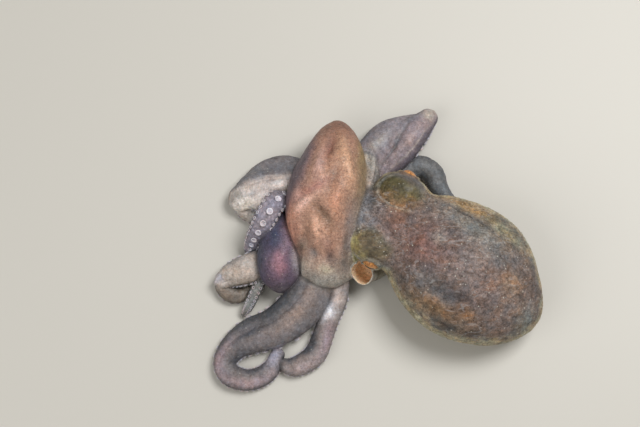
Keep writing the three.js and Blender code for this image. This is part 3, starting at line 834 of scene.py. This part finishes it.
def paint_brow(side, points, above, tint, relief):
    """The olive patch beside an eye, and the ring of skin round the eye."""
    brow = SIDES[side]
    turned = ((points - (*brow["spot"], 0)) @ HEAD_AXES)[:, :2] / brow["reach"]
    away = np.linalg.norm(turned, axis=1) + wave("ragged", points)
    front = above * ease("front", turned[:, 0] + brow["slant"] * turned[:, 1])
    patch = above * ease("patch", away - BROW_FORWARD * front)
    inner, outer = map(rgb, brow["tints"])
    changed = smooth(*brow["fade"], turned @ brow["turn"] + wave("change", points))[:, None]
    lay(tint, inner + (outer - inner) * changed, BROW_STRENGTH * patch)
    dim(tint, BROW_DARK * patch * ease("blotch", wave("blotch", points)))
    lay(tint, rgb(EDGE_TINT), brow["edge"] * hump(away - EDGE[0], EDGE[1]) * front)
    for distance, width, height in (EDGE, EDGE_GROOVE):
        relief += height * hump(away - distance, width) * front
    centre, radius = eye_place(side)
    lay(tint, rgb(brow["lid"]), ease("lid", np.linalg.norm(points - centre, axis=1) - radius))


def paint_siphon(points, tint):
    """The pale lip of the siphon, and its lining."""
    outside = parts["siphon_bore"].sample(points)
    lay(tint, rgb(LIP_TINT), LIP_STRENGTH * ease("lip", outside) * ease("mouth", outside))
    mouth, inside = map(rgb, BORE_TINTS)
    deep = ease("bore", LOFTS["siphon"].near(points)[0])[:, None]
    lay(tint, mouth + (inside - mouth) * deep, ease("lining", np.abs(outside)))


def paint_flank_glow_and_shade(points, upward, body, arm, tint):
    """The pale flanks of the mantle and the head, their own paler skin brightened with painted light through
    its thin edge, and painted shade on the arms' flanks.
    """
    # The pale rim is partly the body's own paler flank skin and partly painted light through its thin edge.
    above = upward - RIM_FACING - wave("rim_fade", points)
    lay(tint, rgb(RIM_GLOW_TINT), (RIM_STRENGTH + wave("rim_strength", points)) * body * ease("rim", above))
    strength, distance, width = RIM_LINE
    dim(tint, strength * body * hump(above - distance, width))
    # Painted shade on the arms' flanks.
    dim(tint, ARM_FLANK_SHADE * arm * ease("arm_flank_shade", np.abs(upward)))


def paint_texture(points, kind, grain, tint, relief):
    """The net of grooves with painted shade in them, the grains and the pale flecks."""
    share = kind @ NET_SHARES
    _, lot, border = grains(moved(points, *NET_BENDS, noise), *NET)
    groove = ease("groove", border) * share
    relief -= NET_DEPTH * groove
    dim(tint, NET_GROOVE_SHADE * groove)
    dim(tint, NET_VARIES * (0.5 - lot) * share)
    away, lot, _ = grains(points, *BEADS)
    bead = ease("bead", away) * (BEAD_HEIGHTS[0] + BEAD_HEIGHTS[1] * lot)
    relief += grain * bead + wave("swell", points)
    dim(tint, BEAD_SHADE * grain * (0.5 - bead))
    away, lot, _ = grains(points, *FLECKS)
    fleck = (lot < FLECK_SHARE) * ease("fleck", away) * share
    relief += FLECK_HEIGHT * fleck
    lay(tint, rgb(FLECK_TINT), FLECK_STRENGTH * fleck)


def dress(points, facing):
    """Colour, kind and relief of every point of the skin."""
    depths = {name: parts[name].sample(points) for name in TINTS}
    nearest = np.min(list(depths.values()), axis=0)
    tint, kind, relief, grain = blend_parts(points, depths, nearest)
    paint_seam_shade(depths, tint)
    above = ease("above", facing[:, 2]) * ease("off_web", depths["web_dome"])
    for side in SIDES:
        paint_brow(side, points, above, tint, relief)
    paint_siphon(points, tint)
    body = np.exp(-(np.minimum(depths["mantle"], depths["head"]) - nearest) / BLEND)
    paint_flank_glow_and_shade(points, facing[:, 2], body, kind[:, 2], tint)
    paint_texture(points, kind, grain, tint, relief)
    return np.clip(tint, 0, 1), kind, relief * ease("off_floor", points[:, 2])


# ---------- materials
# Noise of the skin: scale, detail, roughness and distortion.
BLOTCHES = (110, 8, 0.68, 0.7)
MOTTLES = (420, 6, 0.7)
GRIT = (1300, 3, 0.6)
HUES = (190, 4, 0.6)
VEINS = (230, 2, 0.5, 0.5)
CELLS = 1150
SPECKS = 520
SPECK_SHARE = 0.7  # of the specks that don't show
# How strongly each shows on skin like the body's, the web's and an arm's.
SHOWS = {"blotches": (0.34, 0.12, 0.2), "mottles": (0.44, 0.24, 0.28), "grit": (0.34, 0.28, 0.18),
         "hues": (0.8, 0.25, 0.35), "cells": (0.75, 0.6, 0.4), "veins": (0.34, 0.1, 0.1),
         "specks": (0.65, 0.3, 0.3)}
# Ranges of the textures over which looks come in, and what some are spread to.
SWING = (0.3, 0.7, -1)
HUE_RANGE = (0.36, 0.64)
CELL_RANGE = (0.5, 0.25)
CELL_CROWDS = (0.62, 0.36)
VEIN_RANGE = (0.035, 0)
VEIN_PLACES = (0.47, 0.6)
SPECK_RANGE = (0.2, 0.1)
ROUGHNESS = (0.3, 0.7, 0.66, 0.5)
WARM = (1.16, 0.97, 0.82, 1)
COOL = (0.86, 0.98, 1.14, 1)
PIGMENT = (0.4, 0.3, 0.27, 1)
VEIN_TINT = (0.4, 0.42, 0.44, 1)
SPECK_TINT = (0.62, 0.6, 0.52, 1)
STREAK_TURN = math.radians(34)
STREAK_STRETCH = (0.35, 1, 1)
BUMPS = (0.4, 0.5)  # heights of the cells and the grit beside the mottles
SKIN_GLOSS = {"Subsurface Weight": 0.12, "Subsurface Radius": (1, 0.45, 0.3), "Subsurface Scale": 0.0015,
              "Coat Weight": 0.08, "Coat Roughness": 0.25, "IOR": 1.4}


class Look:
    """A material, and the shader nodes that it is made of."""

    def __init__(self, name):
        self.material = bpy.data.materials.new(name)
        self.material.use_nodes = True
        self.tree = self.material.node_tree
        self.shader = self.tree.nodes["Principled BSDF"]

    def feed(self, made, inputs):
        """Sets inputs of a node, or links them."""
        for key, value in inputs.items():
            if isinstance(value, bpy.types.NodeSocket):
                self.tree.links.new(value, made.inputs[key])
            else:
                made.inputs[key].default_value = value

    def node(self, kind, inputs, **settings):
        made = self.tree.nodes.new("ShaderNode" + kind)
        for key, value in settings.items():
            setattr(made, key, value)
        self.feed(made, inputs)
        return made

    def where(self):
        return self.node("TexCoord", {}).outputs["Object"]

    def layer(self, name):
        """Colours of the points of the mesh."""
        return self.node("Attribute", {}, attribute_name=name).outputs["Color"]

    def noise(self, where, scale, detail, rough, twist=0):
        return self.node("TexNoise", {"Vector": where, "Scale": scale, "Detail": detail, "Roughness": rough,
                                      "Distortion": twist}).outputs["Fac"]

    def maths(self, operation, first, second=0):
        return self.node("Math", {0: first, 1: second}, operation=operation).outputs[0]

    def times(self, first, second):
        return self.maths("MULTIPLY", first, second)

    def plus(self, first, second):
        return self.maths("ADD", first, second)

    def vector(self, operation, *inputs):
        return self.node("VectorMath", dict(enumerate(inputs)), operation=operation).outputs

    def ramp(self, value, low, high, start=0, end=1):
        """A value spread from one range to another."""
        return self.node("MapRange", {"Value": value, "From Min": low, "From Max": high,
                                      "To Min": start, "To Max": end}).outputs["Result"]

    def mix(self, amount, first, second, blend="MIX"):
        return self.node("Mix", {0: amount, 6: first, 7: second}, data_type="RGBA",
                         blend_type=blend).outputs[2]

    def multiply(self, colour, other):
        return self.mix(1, colour, other, "MULTIPLY")


def skin_material():
    """Wet skin: the painted colours under blotches, pale streaks, pigment cells and pale specks."""
    look = Look("skin")
    where = look.where()
    kinds = look.node("SeparateColor", {0: look.layer("kind")}).outputs
    blotches, mottles, grit, hues = (look.noise(where, *sort) for sort in (BLOTCHES, MOTTLES, GRIT, HUES))

    def shows(name):
        """How strongly a texture shows on each kind of skin."""
        body, web, arm = (look.times(kind, amount) for kind, amount in zip(kinds, SHOWS[name]))
        return look.plus(look.plus(body, web), arm)

    def swing(texture, name):
        """A factor that swings round 1."""
        return look.plus(look.times(look.ramp(texture, *SWING), shows(name)), 1)

    shade = look.times(swing(blotches, "blotches"), swing(mottles, "mottles"))
    shade = look.times(shade, swing(grit, "grit"))
    grey = look.node("CombineColor", dict.fromkeys(range(3), shade)).outputs[0]
    colour = look.multiply(look.layer("tint"), grey)

    tinge = look.mix(look.ramp(hues, *HUE_RANGE), look.multiply(colour, COOL), look.multiply(colour, WARM))
    colour = look.mix(shows("hues"), colour, tinge)

    cells = look.node("TexVoronoi", {"Vector": where, "Scale": CELLS}).outputs["Distance"]
    dots = look.times(look.ramp(cells, *CELL_RANGE), look.ramp(mottles, *CELL_CROWDS))
    colour = look.mix(look.times(dots, shows("cells")), colour, look.multiply(colour, PIGMENT))

    stretched = look.node("Mapping", {"Vector": where, "Rotation": (0, 0, STREAK_TURN),
                                      "Scale": STREAK_STRETCH}).outputs[0]
    line = look.maths("ABSOLUTE", look.maths("SUBTRACT", look.noise(stretched, *VEINS), 0.5))
    line = look.times(look.ramp(line, *VEIN_RANGE), look.ramp(hues, *VEIN_PLACES))
    colour = look.mix(look.times(line, shows("veins")), colour, VEIN_TINT)

    specks = look.node("TexVoronoi", {"Vector": where, "Scale": SPECKS}).outputs
    chosen = look.maths("GREATER_THAN", specks["Color"], SPECK_SHARE)
    speck = look.times(look.ramp(specks["Distance"], *SPECK_RANGE), chosen)
    colour = look.mix(look.times(speck, shows("specks")), colour, SPECK_TINT)

    height = look.plus(look.times(dots, BUMPS[0]), mottles)
    height = look.plus(height, look.times(grit, BUMPS[1]))
    bump = look.node("Bump", {"Height": height, "Strength": 0.6, "Distance": 0.00025}).outputs[0]
    look.feed(look.shader, {"Base Color": colour, "Normal": bump,
                            "Roughness": look.ramp(mottles, *ROUGHNESS), **SKIN_GLOSS})
    return look.material


def show(thing, material, slot, *nodes):
    """Hands a finished piece to the frame."""
    thing.data.materials.append(material)
    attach(thing, "root")
    if nodes:
        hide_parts(*nodes)


# ---------- skin
def make_skin(material):
    points, quads = largest_body(*flesh.surface())
    points = relax(points, quads, SMOOTHINGS)
    facing = normals(points, quads)
    tint, kind, relief = dress(points, facing)
    points += facing * relief[:, None]
    points[:, 2] = np.maximum(points[:, 2], 0)
    flesh_nodes = [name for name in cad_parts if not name.startswith("eye")]
    thing = mesh_object("skin", points, NO_FACES, quads, tint=tint, kind=kind)
    show(thing, material, "mantle", *flesh_nodes)


# ---------- suckers
# The section of a sucker from its foot over its rim to its hollow: radius and height as shares of its size.
CUP = ((0.6, -0.6), (0.78, 0), (0.92, 0.3), (1, 0.48), (0.96, 0.62), (0.84, 0.68), (0.7, 0.6), (0.52, 0.38),
       (0.3, 0.2))
CUP_FLOOR = 0.14  # height of the middle of a sucker's hollow
CUP_SIDES = 16
# Tints of the section's rings and its two ends: palest on the rim, and darker down into the hollow as
# painted shade.
CUP_TINTS = (0x7C767A, 0x8A8488, 0xA09A9E, 0xB4AEB0, 0xC8C2C4, 0xCCC6C8, 0xB4ACB0, 0x968E94, 0x847C82,
             0x766E74)
PALE_TINT = 0xD2D0DA
PALENESS = 0.7
# The first and last share of each arm with suckers, and their rows, as shares of its half width: how far
# aside and above they stand, their radius and spacing, and how pale they are. Most arms have GROUND_ROWS.
SPANS = dict(left3=(0.14, 0.98), left4=(0.22, 0.97), left2=(0.3, 1), left2_tip=(0.05, 0.95),
             right2=(0.3, 1), right2_tip=(0.05, 0.95), right3=(0.3, 1),
             right3_tip=(0.05, 0.95), right4=(0.2, 0.96), right1=(0.28, 0.97),
             left1=(0.12, 0.97))
ROWS = dict(right1=((0.05, -0.99, 0.3, 0.86, 1), (-0.8, -0.6, 0.19, 0.44, 0.2),
                        (0.84, -0.5, 0.19, 0.44, 0.2)),
            left1=((0.52, 0.84, 0.27, 0.72, -0.2), (-0.52, 0.84, 0.27, 0.72, -0.2)))
GROUND_ROWS = ((0.92, -0.4, 0.2, 0.52, 0.3), (-0.92, -0.4, 0.2, 0.52, 0.3))


def shares_along(loft, first, last, spacing):
    """Shares of a loft's length, spaced by its half width there."""
    t, found = first, []
    while t < last:
        found.append(t)
        t += spacing * loft.width(t) / loft.length
    return np.array(found)


def cup(seat, out, along, radius):
    """One sucker on its seat."""
    beside = np.cross(out, along)
    cosines, sines = (part[:, None] for part in circle(CUP_SIDES))
    rings = np.array([seat + radius * (out * height + wide * (cosines * along + sines * beside))
                      for wide, height in CUP])
    return closed(rings, seat - out * radius, seat + out * CUP_FLOOR * radius)


def make_suckers(material):
    """Every sucker that can be seen, in one mesh."""
    shades = np.array([rgb(code) for code in CUP_TINTS])
    cups, tints = [], []
    for name, (first, last) in SPANS.items():
        loft = LOFTS[name]
        for order, (aside, lift, size, spacing, pale) in enumerate(ROWS.get(name, GROUND_ROWS)):
            lead = spacing / 2 * order * loft.width(first) / loft.length
            t = shares_along(loft, first + lead, last, spacing)
            centre, along, _, _, half = loft.at(t)
            seat = loft.place(t, aside, lift)
            cups += map(cup, seat, unit(seat - centre), along, half[:, 0] * size)
            paled = shades + (rgb(PALE_TINT) - shades) * pale * PALENESS
            tint = np.vstack([np.repeat(paled[:-1], CUP_SIDES, 0), paled[[0, -1]]])
            tints += [tint] * len(t)
    points, triangles, quads = (np.vstack(meshes) for meshes in zip(*cups))
    first = np.arange(len(cups)) * len(tints[0])
    triangles += np.repeat(first, len(triangles) // len(cups))[:, None]
    quads += np.repeat(first, len(quads) // len(cups))[:, None]
    points[:, 2] = np.maximum(points[:, 2], 0)
    kind = np.broadcast_to(ARM_SORT[:3], points.shape)
    show(mesh_object("suckers", points, triangles, quads, tint=np.vstack(tints), kind=kind), material, "arm")


# ---------- eyes
EYE_RINGS = 40
EYE_SIDES = 64
CORNEA = 0.035  # how far the cornea stands out, as a share of the eye's radius
CORNEA_ANGLE = 0.6
PUPIL = (2.5, 0.75)  # half its length and half its height
IRIS = 4.4
STREAKS = (4.5, 6, 0.75)
STREAK_SPREAD = 0.16
STREAK_RANGE = (0.38, 0.62)
WHITE_RANGE = (0.4, 0.6)
EYE_FLECKS = 2.6
FLECK_RANGE = (0.3, 0.1, 0, 0.5)
SLIT_RING = (3.5, 1, 0, 0.7)  # of the paler ring round the pupil
SLIT_RANGE = (1.25, 0.85)
IRIS_RIM = (3.2, IRIS, 0, 0.85)
IRIS_RANGE = (IRIS + 0.15, IRIS - 0.15)
IRIS_TINTS = ((0.2, 0.06, 0.015, 1), (0.72, 0.31, 0.08, 1))
FLECK_GOLD = (0.8, 0.54, 0.26, 1)
RING_GOLD = (0.8, 0.5, 0.2, 1)
IRIS_DARK = (0.1, 0.035, 0.015, 1)
WHITE_TINTS = ((0.1, 0.08, 0.06, 1), (0.24, 0.2, 0.15, 1))
BLACK = (0.006, 0.005, 0.004, 1)
EYE_GLOSS = {"Roughness": 0.35, "Coat Weight": 0.8, "Coat Roughness": 0.04, "IOR": 1.38}


def eye_material():
    """A copper iris with a level slit for a pupil, under a clear wet coat."""
    look = Look("eye")
    there = look.vector("MULTIPLY", look.where(), (1 / MM,) * 3)[0]
    x, y, _ = look.node("SeparateXYZ", {0: there}).outputs
    flat = look.node("CombineXYZ", {0: x, 1: y}).outputs[0]
    radius = look.vector("LENGTH", flat)["Value"]

    def power(value, size):
        return look.maths("POWER", look.maths("ABSOLUTE", look.maths("DIVIDE", value, size)), 3)

    slit = look.plus(power(x, PUPIL[0]), power(y, PUPIL[1]))
    outward = look.node("CombineXYZ", {2: look.times(radius, STREAK_SPREAD)}).outputs[0]
    rayed = look.vector("MULTIPLY_ADD", look.vector("NORMALIZE", flat)[0], (1, 1, 1), outward)[0]
    streaks = look.noise(rayed, *STREAKS)
    flecks = look.node("TexVoronoi", {"Vector": there, "Scale": EYE_FLECKS}).outputs["Distance"]
    iris = look.mix(look.ramp(streaks, *STREAK_RANGE), *IRIS_TINTS)
    iris = look.mix(look.ramp(flecks, *FLECK_RANGE), iris, FLECK_GOLD)
    iris = look.mix(look.ramp(slit, *SLIT_RING), iris, RING_GOLD)
    iris = look.mix(look.ramp(radius, *IRIS_RIM), iris, IRIS_DARK)
    white = look.mix(look.ramp(streaks, *WHITE_RANGE), *WHITE_TINTS)
    colour = look.mix(look.ramp(radius, *IRIS_RANGE), white, iris)
    colour = look.mix(look.ramp(slit, *SLIT_RANGE), colour, BLACK)
    bump = look.node("Bump", {"Height": streaks, "Strength": 0.3, "Distance": 0.0002}).outputs[0]
    look.feed(look.shader, {"Base Color": colour, "Normal": bump, **EYE_GLOSS})
    return look.material


def make_eye(side, material):
    centre, radius = eye_place(side)
    look, upward, level = eye_axes(side)
    turn = np.linspace(np.pi, 0, EYE_RINGS)[1:-1]
    reach = radius * (1 + CORNEA * hump(turn, CORNEA_ANGLE))[:, None]
    poles = (-radius, radius * (1 + CORNEA))
    thing = mesh_object(f"eyeball_{side}", *sphere(turn, EYE_SIDES, poles, reach))
    thing.matrix_world = Matrix.LocRotScale(Vector(centre * MM), Matrix(np.stack([level, upward, look], 1)),
                                            None)
    show(thing, material, "eye", f"eye_{side}")


flesh, parts = grow()
skin = skin_material()
make_skin(skin)
make_suckers(skin)
eye = eye_material()
for side in SIDES:
    make_eye(side, eye)

# ---------- stage, in metres
CAMERA_TARGET = Vector((-28.5, 18, 0)) * MM
CAMERA_HEIGHT = math.radians(80)
CAMERA_DISTANCE = 0.755
CAMERA_LENS = 85
FLOOR_SIZE = 4
PAPER = (0.55, 0.53, 0.48, 1)
SKY = (0.9, 0.88, 0.84, 1)
SKY_STRENGTH = 0.31
LAMPS = {"key": ((0.38, 0.3, 0.95), 0.45, 9), "fill": ((-0.7, -0.45, 0.8), 0.9, 5)}  # place, size, watts


def aimed(name, data, place, target):
    """A camera or a lamp at a place, pointed at a target."""
    thing = bpy.data.objects.new(name, data)
    thing.location = place
    thing.rotation_euler = (target - place).to_track_quat("-Z", "Y").to_euler()
    bpy.context.scene.collection.objects.link(thing)
    return thing


bpy.ops.mesh.primitive_plane_add(size=FLOOR_SIZE)
floor = bpy.context.object
floor.name = "floor"
paper = Look("paper")
paper.feed(paper.shader, {"Base Color": PAPER})
floor.data.materials.append(paper.material)

lens = bpy.data.cameras.new("camera")
lens.lens = CAMERA_LENS
back = Vector((0, -math.cos(CAMERA_HEIGHT), math.sin(CAMERA_HEIGHT)))
bpy.context.scene.camera = aimed("camera", lens, CAMERA_TARGET + back * CAMERA_DISTANCE, CAMERA_TARGET)
for name, (place, size, power) in LAMPS.items():
    lamp = bpy.data.lights.new(name, "AREA")
    lamp.size = size
    lamp.energy = power
    aimed(name, lamp, Vector(place), Vector())

world = bpy.data.worlds.new("world")
world.use_nodes = True
sky = world.node_tree.nodes["Background"].inputs
sky["Color"].default_value = SKY
sky["Strength"].default_value = SKY_STRENGTH
bpy.context.scene.world = world
bpy.context.scene.view_settings.view_transform = "Standard"
